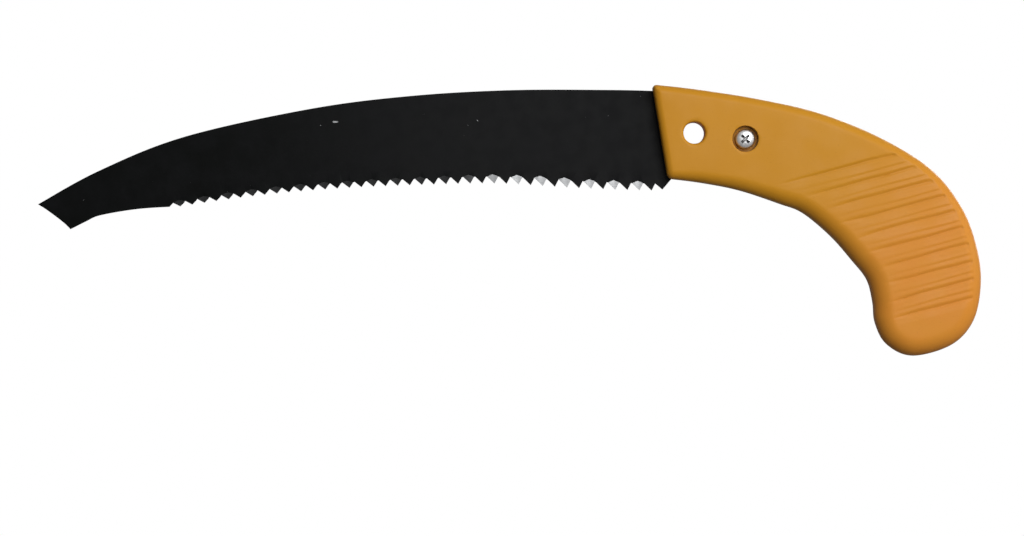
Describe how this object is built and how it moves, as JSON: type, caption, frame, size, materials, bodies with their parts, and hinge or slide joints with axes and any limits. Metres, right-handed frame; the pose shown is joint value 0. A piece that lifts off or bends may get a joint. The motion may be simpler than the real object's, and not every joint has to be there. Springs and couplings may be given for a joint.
{
  "type": "pruning saw",
  "caption": "Pruning saw: a curved, toothed steel blade that swings on one screw in the slotted nose of a ribbed, downturned pistol grip with a hang hole.",
  "frame": {"origin": "centre of the hang hole, halfway through the handle's thickness", "axes": "+X from the blade's tip towards the butt of the grip, +Y away from the side with the screw's head, +Z from the teeth towards the blade's back"},
  "size_m": [0.4522, 0.024, 0.1299],
  "materials": {
    "blade_steel": "black coating, semi-matt",
    "handle_plastic": "moulded orange plastic, semi-gloss",
    "screw_steel": "bright zinc plate",
    "washer_steel": "spring steel, satin",
    "friction_washer_nylon": "natural nylon",
    "grip_screw_steel": "zinc plate, dull"
  },
  "bodies": {
    "handle": {"front_handle_shell": "handle_plastic", "back_handle_shell": "handle_plastic", "pivot_sleeve_nut": "screw_steel", "front_friction_washer": "friction_washer_nylon", "back_friction_washer": "friction_washer_nylon", "stop_pin": "washer_steel", "upper_grip_screw": "grip_screw_steel", "middle_grip_screw": "grip_screw_steel", "lower_grip_screw": "grip_screw_steel"},
    "blade": {"blade": "blade_steel"},
    "lock_washer": {"screw_lock_washer": "washer_steel"},
    "screw": {"pivot_screw": "screw_steel"}
  },
  "joints": [
    {"name": "blade_swing", "type": "hinge", "parent": "handle", "child": "blade", "pos_m": [0.0244, 0, -0.0029], "axis": [0, -1, 0], "range_deg": [0, 100]},
    {"name": "screw_lift", "type": "slide", "parent": "handle", "child": "lock_washer", "axis": [0, -1, 0], "range_m": [0, 0.001]},
    {"name": "screw_turn", "type": "hinge", "parent": "lock_washer", "child": "screw", "pos_m": [0.0244, 0, -0.0029], "axis": [0, -1, 0], "range_deg": [0, 450]}
  ],
  "couplings": [
    {"joint": "screw_turn", "follows": "screw_lift", "rad_per_m": 7854}
  ]
}
